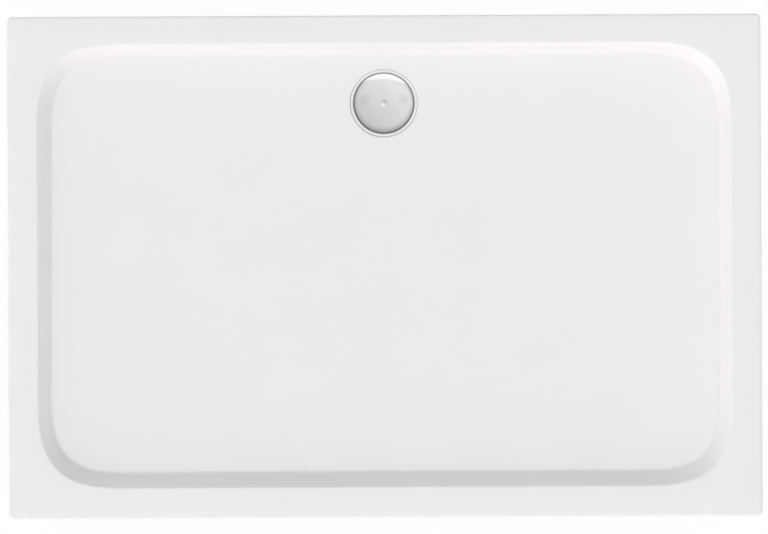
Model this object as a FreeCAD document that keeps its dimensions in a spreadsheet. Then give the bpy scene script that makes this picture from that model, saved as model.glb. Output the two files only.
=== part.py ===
import FreeCAD, Part
import math
import os
import re
import Sketcher

# A low shower tray, 1200 x 800 mm, on adjustable feet, with its waste and trap.
#
# Frame: origin on the floor under the middle of the tray, +X along the long side, +Y towards the
# edge that the waste is near, +Z up. Millimetres.
#
# The tray is a thin formed acrylic skin: a flat rim with its edge turned down, sloping walls, and
# a floor that is one very shallow cone, so that every point of it drains to the waste. Resin
# backs the walls and levels the floor on a flat board, and the feet are screwed to that board.

SIZES = {
    # tray, seen from above
    "tray_length": 1200,
    "tray_width": 800,
    "tray_corner": 12,
    "rim_side": 48.5,
    "rim_back": 46,
    "rim_front": 50,
    "basin_corner": 100,
    "floor_corner": 90,
    "wall_run_side": 18,
    "wall_run_back": 14,
    "wall_run_front": 24,
    # tray, in section
    "basin_depth": 48,
    "fall_per_metre": 12,
    "skirt_height": 40,
    "skin_thickness": 4,
    "backing_thickness": 3,
    "rim_rounding": 4,
    "basin_edge_rounding": 4,
    "floor_rounding": 8,
    # waste hole and the recess round it
    "waste_to_back": 138,
    "waste_hole": 90,
    "recess_width": 109,
    "recess_depth": 5.5,
    "recess_ledge": 3,
    # board under the floor
    "board_thickness": 12,
    "board_margin": 30,
    "board_corner": 25,
    "notch_width": 150,
    # feet
    "foot_height": 92,
    "foot_inset": 60,
    "rod_diameter": 12,
    "rod_clearance": 0.05,
    "rod_chamfer": 1.2,
    "rod_headroom": 6,
    "pad_width": 50,
    "pad_edge": 4,
    "pad_bevel": 1,
    "pad_cone_height": 16,
    "pad_neck": 26,
    "pad_collar_height": 7,
    "pad_sole": 6,
    "collar_flats": 24,
    "socket_width": 66,
    "socket_plate": 4,
    "socket_corner": 8,
    "hub_height": 36,
    "hub_top": 34,
    "hub_bottom": 29,
    "hub_floor": 6,
    "rib_thickness": 3,
    "nut_flats": 19,
    "nut_height": 10,
    "nut_play": 0.4,
    "nut_bevel_fall": 0.5,
    "lock_nut_height": 7,
    "socket_screw_spacing": 48,
    "socket_screw": 4,
    "socket_screw_head": 8,
    "socket_screw_head_height": 2.6,
    "socket_screw_length": 13,
    "socket_screw_play": 0.5,
    "pilot_bite": 0.8,
    # waste flange and seals
    "flange_width": 108,
    "flange_thickness": 1.5,
    "flange_dish": 88.6,
    "flange_dish_depth": 5.5,
    "flange_rounding": 0.7,
    "flange_throat": 61,
    "flange_lip": 3,
    "flange_seal_thickness": 2,
    "flange_seal_width": 8.5,
    "trap_seal_thickness": 3,
    "trap_seal_width": 13,
    "flange_screw": 5,
    "flange_screw_head": 9,
    "flange_screw_head_height": 2.8,
    "flange_screw_length": 20,
    "flange_screw_circle": 76,
    "flange_screw_play": 0.5,
    "screw_head_bevel": 0.9,
    "screw_point": 1.5,
    # trap
    "trap_flange_width": 118,
    "trap_flange_thickness": 4,
    "cup_width": 90,
    "cup_wall": 3,
    "cup_depth": 87.5,
    "cup_rounding": 9,
    "boss_bite": 1,
    "chamber_depth": 14,
    "ledge_hole": 52,
    "ledge_thickness": 2.5,
    "boss_width": 9.6,
    "outlet_bore": 34,
    "outlet_wall": 3,
    "outlet_joint_play": 0.05,
    "outlet_collar_wall": 3,
    "outlet_clearance": 2,
    "outlet_reach": 52,
    "pipe_width": 40,
    "pipe_play": 0.3,
    "pipe_socket_depth": 30,
    "pipe_socket_wall": 3.6,
    "pipe_shoulder": 3,
    # outlet nut and its seal
    "outlet_nut_length": 20,
    "outlet_nut_wall": 4.5,
    "outlet_nut_lip": 3,
    "outlet_nut_lip_play": 0.3,
    "outlet_nut_ribs": 12,
    "outlet_nut_rib": 3.4,
    "outlet_seal_length": 5,
    "outlet_seal_play": 0.8,
    # dip tube
    "dip_width": 46,
    "dip_wall": 2,
    "dip_gap": 9,
    "dip_collar_width": 60,
    "dip_collar_thickness": 3,
    "dip_seal_thickness": 2,
    "dip_seal_width": 59,
    # hair sieve
    "sieve_width": 56,
    "sieve_thickness": 2,
    "sieve_plug_depth": 4,
    "sieve_plug_play": 0.3,
    "sieve_plug_wall": 1.6,
    "sieve_hub": 15,
    "sieve_hub_height": 9,
    "sieve_slots": 10,
    "sieve_slot_width": 3.2,
    "sieve_slot_corner": 1.5,
    "sieve_bar": 1.6,
    # cover
    "cover_width": 99,
    "cover_thickness": 1.5,
    "cover_gap": 2.5,
    "cover_side": 3,
    "cover_rise": 8,
    "cover_rounding": 2,
    "dimple_width": 7,
    "dimple_depth": 1,
    "stem_width": 8,
    "stem_play": 0.05,
    "stem_head": 30,
    "stem_head_thickness": 2.5,
    "stem_flare": 6,
    "dimple_room": 1,
}

# Places and levels that follow from the sizes. Levels above the floor end in _level. Those that
# end in _z are measured from the seat of the waste, which is the bottom of its recess.
PLACES = {
    "board_level": "foot_height + board_thickness",
    "drain_level": "board_level + backing_thickness + skin_thickness",
    "seat_level": "drain_level - recess_depth",
    "waste_y": "tray_width / 2 - waste_to_back",
    "rim_z": "recess_depth + basin_depth",
    "slope": "fall_per_metre / 1000",
    "cone_start": "recess_width / 2 + recess_ledge",
    # basin outlines, measured from the waste
    "basin_x": "tray_length / 2 - rim_side",
    "basin_back": "waste_to_back - rim_back",
    "basin_front": "waste_to_back - tray_width + rim_front",
    "floor_x": "basin_x - wall_run_side",
    "floor_back": "basin_back - wall_run_back",
    "floor_front": "basin_front + wall_run_front",
    # board and feet
    "board_x": "floor_x - board_margin",
    "board_back": "waste_y + floor_back - board_margin",
    "board_front": "waste_y + floor_front + board_margin",
    "foot_x": "board_x - foot_inset",
    "foot_back": "board_back - foot_inset",
    "foot_front": "board_front + foot_inset",
    "rod_bore": "rod_diameter + 2 * rod_clearance",
    "rod_length": "foot_height - rod_headroom - pad_sole",
    "hub_level": "foot_height - hub_height",
    # waste and trap
    "flange_top_z": "flange_seal_thickness + flange_thickness",
    "dish_z": "flange_top_z - flange_dish_depth",
    "boss_z": "dish_z - flange_thickness",
    "clamp_z": "-skin_thickness - backing_thickness",
    "trap_top_z": "clamp_z - trap_seal_thickness",
    "cup_bottom_z": "trap_top_z - cup_depth",
    "ledge_z": "trap_top_z - chamber_depth",
    "outlet_z": "ledge_z - ledge_thickness - outlet_clearance - outlet_bore / 2",
    "outlet_width": "outlet_bore + 2 * outlet_wall",
    "pipe_bore": "pipe_width + 2 * pipe_play",
    "pipe_socket_width": "pipe_bore + 2 * pipe_socket_wall",
    "outlet_end_y": "outlet_reach + pipe_socket_depth",
    "collar_z": "ledge_z + dip_seal_thickness",
    "sieve_z": "collar_z + dip_collar_thickness",
    "dip_bore": "dip_width - 2 * dip_wall",
    "dip_bottom_z": "cup_bottom_z + cup_wall + dip_gap",
    "cover_z": "flange_top_z + cover_gap",
    # the cover's dome, a cap of a sphere
    "dome_radius": "((cover_width / 2)^2 + cover_rise^2) / (2 * cover_rise)",
    "dome_centre": "cover_side + cover_rise - dome_radius",
    "dome_inside": "dome_radius - cover_thickness",
    "dimple_rim": "dome_centre + sqrt(dome_radius^2 - (dimple_width / 2)^2)",
    "dimple_radius": "((dimple_width / 2)^2 + dimple_depth^2) / (2 * dimple_depth)",
    "dimple_inside": "dimple_width / 2 + cover_thickness",
    "stem_top_z": "dome_centre + sqrt(dome_inside^2 - (stem_head / 2)^2)",
}

# The feet and where they stand.
FEET = {
    "front_left": ("-foot_x", "foot_front"),
    "front_right": ("foot_x", "foot_front"),
    "back_left": ("-foot_x", "foot_back"),
    "back_right": ("foot_x", "foot_back"),
    "middle": ("0", "0"),
}
FLANGE_SCREWS = 3
SQUARE_TURN = 90
FULL_TURN = 360
# How far an edge may be from a level to lie at it, and the share of its run that may rise.
NEAR = 0.05
STEEP = 0.5
WORD = re.compile(r"[a-z][a-z_0-9]*")

doc = FreeCAD.newDocument("ShowerTray")
sheet = doc.addObject("Spreadsheet::Sheet", "Sizes")
for row, (name, value) in enumerate(SIZES.items(), start=1):
    sheet.set(f"A{row}", name)
    sheet.set(f"B{row}", str(value))
    sheet.setAlias(f"B{row}", name)
doc.recompute()


def full(text):
    """A size or place written out in terms of the sheet's cells."""

    def cell(match):
        word = match.group()
        if word in PLACES:
            return "(" + full(PLACES[word]) + ")"
        return "Sizes." + word if word in SIZES else word

    return WORD.sub(cell, str(text))


def now(text):
    """The present value of a size or place."""
    return float(sheet.evalExpression(full(text)))


def bind(thing, **sizes):
    """Ties properties of an object to sizes."""
    for name, text in sizes.items():
        thing.setExpression(name, full(text))


def place(thing, x="0", y="0", z="0"):
    """Puts an object at a place that follows the sizes."""
    for axis, text in (("x", x), ("y", y), ("z", z)):
        thing.setExpression(f"Placement.Base.{axis}", full(text))
    return thing


def new_body(name):
    body = doc.addObject("PartDesign::Body", name)
    body.Label = name
    return body


def new_sketch(body, plane, name, lift="0"):
    """A sketch on one of the body's own planes, lifted along that plane's normal."""
    sketch = body.newObject("Sketcher::SketchObject", name)
    support = next(item for item in body.Origin.OriginFeatures if item.Role == plane)
    sketch.AttachmentSupport = [(support, "")]
    sketch.MapMode = "FlatFace"
    sketch.setExpression("AttachmentOffset.Base.z", full(lift))
    return sketch


def hold(sketch, kind, text, *where):
    """A dimension of a sketch that follows the sizes."""
    index = sketch.addConstraint(Sketcher.Constraint(kind, *where, now(text)))
    sketch.setExpression(f"Constraints[{index}]", full(text))


def hold_point(sketch, shape, point, x, y):
    hold(sketch, "DistanceX", x, -1, 1, shape, point)
    hold(sketch, "DistanceY", y, -1, 1, shape, point)


def arc_between(start, end, centre):
    """The shorter arc from start to end, and whether its own direction is the other way."""
    first = math.atan2(start.y - centre.y, start.x - centre.x)
    last = math.atan2(end.y - centre.y, end.x - centre.x)
    backwards = math.sin(last - first) < 0
    if backwards:
        first, last = last, first
    circle = Part.Circle(centre, FreeCAD.Vector(0, 0, 1), start.distanceToPoint(centre))
    return Part.ArcOfCircle(circle, first, last), backwards


def outline(sketch, points):
    """A closed outline through points (x, y), or (x, y, centre x, centre y) where an arc leaves."""
    spots = [FreeCAD.Vector(now(point[0]), now(point[1]), 0) for point in points]
    ends = []
    for index, point in enumerate(points):
        start, end = spots[index], spots[(index + 1) % len(spots)]
        if len(point) == 2:
            ends.append((sketch.addGeometry(Part.LineSegment(start, end)), 1, 2))
            continue
        centre = FreeCAD.Vector(now(point[2]), now(point[3]), 0)
        arc, backwards = arc_between(start, end, centre)
        edge = sketch.addGeometry(arc)
        ends.append((edge, 2, 1) if backwards else (edge, 1, 2))
    for index, (edge, _, last) in enumerate(ends):
        following, first, _ = ends[(index + 1) % len(ends)]
        sketch.addConstraint(Sketcher.Constraint("Coincident", edge, last, following, first))
    for (edge, first, _), point in zip(ends, points):
        hold_point(sketch, edge, first, point[0], point[1])
        if len(point) == 4:
            hold(sketch, "DistanceX", point[2], -1, 1, edge, 3)


def rounded_box(sketch, left, right, front, back, radius):
    """A rectangle with round corners, each side held at its distance from the origin."""
    low_x, high_x, low_y, high_y, turn = (now(text) for text in (left, right, front, back, radius))
    corners = ((high_x - turn, low_y + turn), (high_x - turn, high_y - turn),
               (low_x + turn, high_y - turn), (low_x + turn, low_y + turn))
    normal = FreeCAD.Vector(0, 0, 1)
    arcs = []
    for step, (x, y) in enumerate(corners):
        start = math.radians(SQUARE_TURN * (step - 1))
        circle = Part.Circle(FreeCAD.Vector(x, y, 0), normal, turn)
        arc = Part.ArcOfCircle(circle, start, start + math.radians(SQUARE_TURN))
        arcs.append(sketch.addGeometry(arc))
    sides = []
    for step, arc in enumerate(arcs):
        before = sketch.Geometry[arcs[step - 1]].EndPoint
        after = sketch.Geometry[arc].StartPoint
        sides.append(sketch.addGeometry(Part.LineSegment(before, after)))
    for step, (side, arc) in enumerate(zip(sides, arcs)):
        sketch.addConstraint(Sketcher.Constraint("Tangent", side, 2, arc, 1))
        sketch.addConstraint(Sketcher.Constraint("Tangent", arcs[step - 1], 2, side, 1))
        sketch.addConstraint(Sketcher.Constraint("Vertical" if step % 2 else "Horizontal", side))
    for arc in arcs[1:]:
        sketch.addConstraint(Sketcher.Constraint("Equal", arcs[0], arc))
    hold(sketch, "Radius", radius, arcs[0])
    hold(sketch, "DistanceY", front, -1, 1, sides[0], 1)
    hold(sketch, "DistanceX", right, -1, 1, sides[1], 1)
    hold(sketch, "DistanceY", back, -1, 1, sides[2], 1)
    hold(sketch, "DistanceX", left, -1, 1, sides[3], 1)


def round_hole(sketch, diameter, x="0", y="0"):
    spot = FreeCAD.Vector(now(x), now(y), 0)
    circle = Part.Circle(spot, FreeCAD.Vector(0, 0, 1), now(diameter) / 2)
    index = sketch.addGeometry(circle)
    hold_point(sketch, index, 3, x, y)
    hold(sketch, "Diameter", diameter, index)


def hexagon(sketch, flats):
    """A hexagon about the origin, with two flats along X."""
    across = f"({flats}) / 2"
    side = f"({flats}) / sqrt(12)"
    corner = f"({flats}) / sqrt(3)"
    outline(sketch, [(side, across), (f"-{side}", across), (f"-{corner}", "0"),
                     (f"-{side}", f"-{across}"), (side, f"-{across}"), (corner, "0")])


def pad(body, sketch, length, **settings):
    feature = body.newObject("PartDesign::Pad", sketch.Name + "Pad")
    feature.Profile = (sketch, [""])
    bind(feature, Length=length)
    for name, value in settings.items():
        setattr(feature, name, value)
    return feature


def pocket(body, sketch, length=None, **settings):
    """Cuts to a depth, or through everything if there is none."""
    feature = body.newObject("PartDesign::Pocket", sketch.Name + "Cut")
    feature.Profile = (sketch, [""])
    if length is None:
        feature.Type = "ThroughAll"
    else:
        bind(feature, Length=length)
    for name, value in settings.items():
        setattr(feature, name, value)
    return feature


def turn(body, name, points, kind="Revolution"):
    """A shape turned about the body's own Z, added, or cut as a Groove."""
    sketch = new_sketch(body, "XZ_Plane", name)
    outline(sketch, points)
    feature = body.newObject("PartDesign::" + kind, name + kind)
    feature.Profile = (sketch, [""])
    feature.ReferenceAxis = (sketch, ["V_Axis"])
    return feature


def round_edges(body, feature, radius, test):
    """Rounds the edges of a feature whose middle passes the test."""
    doc.recompute()
    names = [f"Edge{index}" for index, edge in enumerate(feature.Shape.Edges, start=1)
             if test(edge.valueAt((edge.FirstParameter + edge.LastParameter) / 2), edge)]
    if not names:
        raise RuntimeError(f"{body.Label} has no edge to round")
    fillet = body.newObject("PartDesign::Fillet", feature.Name + "Rounding")
    fillet.Base = (feature, names)
    bind(fillet, Radius=radius)
    return fillet


def repeat_round(body, originals, count):
    """Copies features evenly round the body's own Z."""
    pattern = body.newObject("PartDesign::PolarPattern", originals[0].Name + "Pattern")
    pattern.Originals = originals
    pattern.Axis = (originals[0].Profile[0], ["N_Axis"])
    pattern.Angle = FULL_TURN
    if isinstance(count, str):
        bind(pattern, Occurrences=count)
    else:
        pattern.Occurrences = count
    body.Tip = pattern
    return pattern


def combine(body, tool, kind):
    """Fuses another body into this one, or cuts it out."""
    step = body.newObject("PartDesign::Boolean", f"{body.Name}{kind}")
    step.setObjects([tool])
    step.Type = kind
    return step


def is_level(edge):
    """Whether an edge runs across a wall rather than down it."""
    middle = (edge.FirstParameter + edge.LastParameter) / 2
    return abs(edge.tangentAt(middle).z) < STEEP


def at_waste(thing):
    return place(thing, "0", "waste_y", "seat_level")


def group(name, bodies):
    """Like pieces as one sub-part of separate solids."""
    whole = doc.addObject("Part::Compound", name)
    whole.Label = name
    whole.Links = bodies
    return whole


# ---------------------------------------------------------------------------------------------
# Tray: acrylic skin, resin backing and base board


def basin_form(name, thickness, sloping=True, rounded=False):
    """The basin as a solid, its walls, floor and recess moved outwards by a thickness.

    It is the hollow itself at no thickness, and the outside of the skin at the skin's. The walls
    run from the outline at the rim to the smaller one at the floor, whose corners are nearly as
    large, so the corners lean out more than the sides. The floor is a shallow cone round the
    waste, unless it is level.
    """
    body = new_body(name)
    drain = f"recess_depth - ({thickness})"
    walls = body.newObject("PartDesign::AdditiveLoft", name + "Walls")
    outlines = []
    for level, edge in (("rim_z", "basin"), (drain, "floor")):
        sketch = new_sketch(body, "XY_Plane", f"{name}{edge.title()}", level)
        rounded_box(sketch, f"-{edge}_x - ({thickness})", f"{edge}_x + ({thickness})",
                    f"{edge}_front - ({thickness})", f"{edge}_back + ({thickness})",
                    f"{edge}_corner + ({thickness})")
        outlines.append(sketch)
    walls.Profile = (outlines[0], [""])
    walls.Sections = [(outlines[1], [""])]
    walls.Ruled = True
    if sloping:
        far_z = f"{drain} + slope * (tray_length - cone_start)"
        walls = turn(body, name + "Fall",
                     [("cone_start", drain), ("tray_length", far_z), ("tray_length", drain)],
                     "Groove")
    if rounded:
        low, high = now(drain) + NEAR, now("rim_z") - NEAR
        round_edges(body, walls, "floor_rounding",
                    lambda spot, edge: low < spot.z < high and is_level(edge))
    sketch = new_sketch(body, "XY_Plane", name + "Recess", f"-({thickness})")
    round_hole(sketch, f"recess_width + 2 * ({thickness})")
    pad(body, sketch, "recess_depth + basin_depth / 2")
    return body


def waste_hole(body):
    sketch = new_sketch(body, "XY_Plane", "WasteHole")
    round_hole(sketch, "waste_hole")
    return pocket(body, sketch, "skin_thickness + 2 * backing_thickness")


def make_tray_shell():
    """The acrylic skin, with its edge turned down all round."""
    body = at_waste(new_body("tray_shell"))
    outer = new_sketch(body, "XY_Plane", "Rim", "rim_z")
    rounded_box(outer, "-tray_length / 2", "tray_length / 2", "waste_to_back - tray_width",
                "waste_to_back", "tray_corner")
    rim = pad(body, outer, "skirt_height", Reversed=True)
    doc.recompute()
    top = now("rim_z")
    round_edges(body, rim, "rim_rounding", lambda spot, edge: abs(spot.z - top) < NEAR)
    under = new_sketch(body, "XY_Plane", "UnderRim", "rim_z - skirt_height")
    rounded_box(under, "skin_thickness - tray_length / 2", "tray_length / 2 - skin_thickness",
                "waste_to_back - tray_width + skin_thickness", "waste_to_back - skin_thickness",
                "tray_corner - skin_thickness")
    pocket(body, under, "skirt_height - skin_thickness", Reversed=True)
    combine(body, basin_form("skin_outside", "skin_thickness"), "Fuse")
    combine(body, basin_form("basin_hollow", "0", rounded=True), "Cut")
    drilled = waste_hole(body)
    wide, back, front = (now(text) for text in ("basin_x", "basin_back", "basin_front"))
    round_edges(body, drilled, "basin_edge_rounding",
                lambda spot, edge: abs(spot.z - top) < NEAR and abs(spot.x) < wide + NEAR
                and front - NEAR < spot.y < back + NEAR)
    return [body]


def make_resin_backing():
    """Glass-fibre resin on the back of the basin, levelled off flat where the board goes."""
    body = at_waste(basin_form("resin_backing", "skin_thickness + backing_thickness", False))
    combine(body, basin_form("skin_back", "skin_thickness"), "Cut")
    above = new_sketch(body, "XY_Plane", "UnderRimTop", "rim_z")
    rounded_box(above, "-tray_length / 2", "tray_length / 2", "waste_to_back - tray_width",
                "waste_to_back", "tray_corner")
    pocket(body, above, "skin_thickness")
    waste_hole(body)
    return [body]


def foot_screw_spots():
    """Where each foot's four screws go into the board."""
    half = "socket_screw_spacing / 2"
    return [(f"{x} {side_x} {half}", f"{y} {side_y} {half}")
            for x, y in FEET.values() for side_x in "-+" for side_y in "-+"]


def make_base_board():
    """A board bonded flat under the floor, cut away round the trap, with the screws' pilots."""
    body = place(new_body("base_board"), z="foot_height")
    sketch = new_sketch(body, "XY_Plane", "Board")
    rounded_box(sketch, "-board_x", "board_x", "board_front", "board_back", "board_corner")
    pad(body, sketch, "board_thickness")
    notch = new_sketch(body, "XY_Plane", "Notch")
    half = "notch_width / 2"
    outline(notch, [(half, "board_back + board_margin"), (f"-{half}", "board_back + board_margin"),
                    (f"-{half}", "waste_y", "0", "waste_y"),
                    ("0", f"waste_y - {half}", "0", "waste_y"), (half, "waste_y")])
    pocket(body, notch, "board_thickness", Reversed=True)
    pilots = new_sketch(body, "XY_Plane", "Pilots")
    for x, y in foot_screw_spots():
        round_hole(pilots, "socket_screw - pilot_bite", x, y)
    pocket(body, pilots, "socket_screw_length - socket_plate", Reversed=True)
    return [body]


# ---------------------------------------------------------------------------------------------
# Feet


def make_socket(name, x, y):
    """A moulded socket: a square plate under the board, and a ribbed hub that holds the nut."""
    body = place(new_body(name), x, y, "foot_height")
    plate = new_sketch(body, "XY_Plane", "Plate", "-socket_plate")
    half = "socket_width / 2"
    rounded_box(plate, f"-{half}", half, f"-{half}", half, "socket_corner")
    pad(body, plate, "socket_plate")
    turn(body, "Hub", [("0", "-socket_plate / 2"), ("hub_top / 2", "-socket_plate / 2"),
                       ("hub_bottom / 2", "-hub_height"), ("0", "-hub_height")])
    reach = "(socket_width / 2 - socket_corner)"
    for plane in ("XZ_Plane", "YZ_Plane"):
        rib = new_sketch(body, plane, "Rib" + plane[:2])
        outline(rib, [(f"-{reach}", "-socket_plate / 2"), (reach, "-socket_plate / 2"),
                      ("hub_bottom / 2 - rib_thickness", "hub_floor - hub_height"),
                      ("rib_thickness - hub_bottom / 2", "hub_floor - hub_height")])
        pad(body, rib, "rib_thickness", Midplane=True)
    nut = new_sketch(body, "XY_Plane", "NutPocket")
    hexagon(nut, "nut_flats + nut_play")
    pocket(body, nut, "hub_height - hub_floor")
    bore = new_sketch(body, "XY_Plane", "Bore")
    round_hole(bore, "rod_bore")
    pocket(body, bore, "hub_height")
    holes = new_sketch(body, "XY_Plane", "ScrewHoles")
    for side_x in ("", "-"):
        for side_y in ("", "-"):
            round_hole(holes, "socket_screw + socket_screw_play",
                       f"{side_x}socket_screw_spacing / 2", f"{side_y}socket_screw_spacing / 2")
    pocket(body, holes, "socket_plate")
    return body


def make_nut(name, height):
    """A hexagon nut standing on its own origin, its corners turned off at both faces."""
    body = new_body(name)
    sketch = new_sketch(body, "XY_Plane", "Flats")
    hexagon(sketch, "nut_flats")
    pad(body, sketch, height)
    fall = "nut_bevel_fall * nut_flats / 2"
    for side, face, fallen in (("Top", height, f"{height} - {fall}"), ("Bottom", "0", fall)):
        turn(body, side + "Bevel", [("nut_flats / 2", face), ("nut_flats", face),
                                    ("nut_flats", fallen)], "Groove")
    bore = new_sketch(body, "XY_Plane", "Bore")
    round_hole(bore, "rod_bore")
    pocket(body, bore, height, Reversed=True)
    return body


def make_rod(name, x, y):
    body = place(new_body(name), x, y, "pad_sole")
    radius = "rod_diameter / 2"
    turn(body, "Rod", [("0", "0"), (f"{radius} - rod_chamfer", "0"), (radius, "rod_chamfer"),
                       (radius, "rod_length - rod_chamfer"),
                       (f"{radius} - rod_chamfer", "rod_length"), ("0", "rod_length")])
    return body


def make_foot_pad(name, x, y):
    """A round plastic foot with a hexagon collar for the spanner."""
    body = place(new_body(name), x, y)
    turn(body, "Pad", [("0", "0"), ("pad_width / 2 - pad_bevel", "0"), ("pad_width / 2", "pad_bevel"),
                       ("pad_width / 2", "pad_edge"), ("pad_neck / 2", "pad_cone_height"),
                       ("0", "pad_cone_height")])
    collar = new_sketch(body, "XY_Plane", "Collar", "pad_cone_height")
    hexagon(collar, "collar_flats")
    pad(body, collar, "pad_collar_height")
    bore = new_sketch(body, "XY_Plane", "RodHole", "pad_sole")
    round_hole(bore, "rod_diameter")
    pocket(body, bore, "pad_cone_height + pad_collar_height - pad_sole", Reversed=True)
    return body


def make_screw(name, diameter, head, head_height, length):
    """A pan-headed screw: the head stands on the origin and the shank goes down from it."""
    body = new_body(name)
    turn(body, "Screw", [("0", head_height), (f"{head} / 2 - screw_head_bevel", head_height),
                         (f"{head} / 2", f"{head_height} - screw_head_bevel"), (f"{head} / 2", "0"),
                         (f"{diameter} / 2", "0"), (f"{diameter} / 2", f"screw_point - {length}"),
                         ("0", f"-{length}")])
    return body


def make_feet():
    parts = []
    captive, lock = [], []
    for name, (x, y) in FEET.items():
        parts.append(make_socket("foot_socket_" + name, x, y))
        parts.append(make_rod("foot_rod_" + name, x, y))
        parts.append(make_foot_pad("foot_pad_" + name, x, y))
        captive.append(place(make_nut("captive_nut_" + name, "nut_height"), x, y,
                             "hub_level + hub_floor"))
        lock.append(place(make_nut("lock_nut_" + name, "lock_nut_height"), x, y,
                          "hub_level - lock_nut_height"))
    screws = []
    for index, (x, y) in enumerate(foot_screw_spots(), start=1):
        screw = make_screw(f"foot_screw_{index}", "socket_screw", "socket_screw_head",
                           "socket_screw_head_height", "socket_screw_length")
        screw.Placement.Rotation = FreeCAD.Rotation(FreeCAD.Vector(1, 0, 0), 2 * SQUARE_TURN)
        screws.append(place(screw, x, y, "foot_height - socket_plate"))
    return parts + [group("captive_nuts", captive), group("lock_nuts", lock),
                    group("foot_screws", screws)]


# ---------------------------------------------------------------------------------------------
# Waste and trap, all measured from the seat of the waste


def make_ring(name, inner, outer, low, high):
    """A flat ring, such as a seal, given by its widths and levels."""
    body = at_waste(new_body(name))
    turn(body, "Ring", [(f"({inner}) / 2", low), (f"({outer}) / 2", low),
                        (f"({outer}) / 2", high), (f"({inner}) / 2", high)])
    return body


def make_waste_flange():
    """The pressed steel flange: a flat edge over the seal, and a dish with a turned-down throat."""
    body = at_waste(new_body("waste_flange"))
    wall = "flange_thickness"
    pressing = turn(
        body, "Flange",
        [("flange_width / 2", "flange_seal_thickness"), ("flange_width / 2", "flange_top_z"),
         (f"flange_dish / 2 - {wall}", "flange_top_z"), (f"flange_dish / 2 - {wall}", "dish_z"),
         ("flange_throat / 2", "dish_z"), ("flange_throat / 2", "boss_z - flange_lip"),
         (f"flange_throat / 2 + {wall}", "boss_z - flange_lip"),
         (f"flange_throat / 2 + {wall}", "boss_z"), ("flange_dish / 2", "boss_z"),
         ("flange_dish / 2", "flange_seal_thickness")])
    top = now("flange_top_z")
    round_edges(body, pressing, "flange_rounding", lambda spot, edge: abs(spot.z - top) < NEAR)
    hole = new_sketch(body, "XY_Plane", "ScrewHole", "boss_z")
    round_hole(hole, "flange_screw + flange_screw_play", "flange_screw_circle / 2")
    repeat_round(body, [pocket(body, hole, wall, Reversed=True)], FLANGE_SCREWS)
    return body


def make_trap_body():
    """The moulded trap: a cup with a flange at its top, a ledge for the dip tube, and a collar
    in its side that the outlet is glued into."""
    body = at_waste(new_body("trap_body"))
    under_flange = "trap_top_z - trap_flange_thickness"
    inside, under_ledge = "cup_width / 2 - cup_wall", "ledge_z - ledge_thickness"
    cup = turn(body, "Cup", [("0", "cup_bottom_z"), ("cup_width / 2", "cup_bottom_z"),
                             ("cup_width / 2", under_flange), ("trap_flange_width / 2", under_flange),
                             ("trap_flange_width / 2", "trap_top_z"), ("0", "trap_top_z")])
    low = now("cup_bottom_z")
    round_edges(body, cup, "cup_rounding", lambda spot, edge: abs(spot.z - low) < NEAR)
    joint = "outlet_width + 2 * outlet_joint_play"
    collar = new_sketch(body, "XZ_Plane", "Collar")
    round_hole(collar, f"{joint} + 2 * outlet_collar_wall", "0", "outlet_z")
    pad(body, collar, "outlet_reach - pipe_shoulder", Reversed=True)
    turn(body, "Chamber", [("0", "ledge_z"), (inside, "ledge_z"), (inside, "trap_top_z"),
                           ("0", "trap_top_z")], "Groove")
    turn(body, "Water", [("0", "cup_bottom_z + cup_wall"), (inside, "cup_bottom_z + cup_wall"),
                         (inside, under_ledge), ("0", under_ledge)], "Groove")
    turn(body, "LedgeHole", [("0", under_ledge), ("ledge_hole / 2", under_ledge),
                             ("ledge_hole / 2", "ledge_z"), ("0", "ledge_z")], "Groove")
    hole = new_sketch(body, "XZ_Plane", "OutletHole")
    round_hole(hole, joint, "0", "outlet_z")
    pocket(body, hole, "outlet_reach")
    boss = new_sketch(body, "XY_Plane", "Boss", "ledge_z")
    round_hole(boss, "boss_width", "flange_screw_circle / 2")
    boss_pad = pad(body, boss, "boss_z - ledge_z")
    pilot = new_sketch(body, "XY_Plane", "Pilot", "boss_z")
    round_hole(pilot, "flange_screw - pilot_bite", "flange_screw_circle / 2")
    drilled = pocket(body, pilot, "flange_screw_length - flange_thickness + boss_bite")
    repeat_round(body, [boss_pad, drilled], FLANGE_SCREWS)
    return body


def make_trap_outlet():
    """The tube glued into the trap's side, ending in the socket for the pipe."""
    body = at_waste(new_body("trap_outlet"))
    for name, width, start, length in (
            ("Tube", "outlet_width", "0", "outlet_reach"),
            ("PipeSocket", "pipe_socket_width", "pipe_shoulder - outlet_reach",
             "pipe_shoulder + pipe_socket_depth")):
        branch = new_sketch(body, "XZ_Plane", name, start)
        round_hole(branch, width, "0", "outlet_z")
        pad(body, branch, length, Reversed=True)
    inside, reach = "cup_width / 2 - cup_wall", "outlet_width"
    turn(body, "InnerEnd", [("0", f"outlet_z - {reach}"), (inside, f"outlet_z - {reach}"),
                            (inside, f"outlet_z + {reach}"), ("0", f"outlet_z + {reach}")],
         "Groove")
    for name, width, start, length in (
            ("Bore", "outlet_bore", "0", "outlet_reach"),
            ("PipeBore", "pipe_bore", "-outlet_reach", "pipe_socket_depth")):
        hole = new_sketch(body, "XZ_Plane", name, start)
        round_hole(hole, width, "0", "outlet_z")
        pocket(body, hole, length)
    return body


def at_outlet(thing):
    """Puts a piece at the mouth of the outlet, its own Z pointing the way the pipe leaves."""
    thing.Placement.Rotation = FreeCAD.Rotation(FreeCAD.Vector(1, 0, 0), -SQUARE_TURN)
    return place(thing, "0", "waste_y + outlet_end_y", "seat_level + outlet_z")


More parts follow.
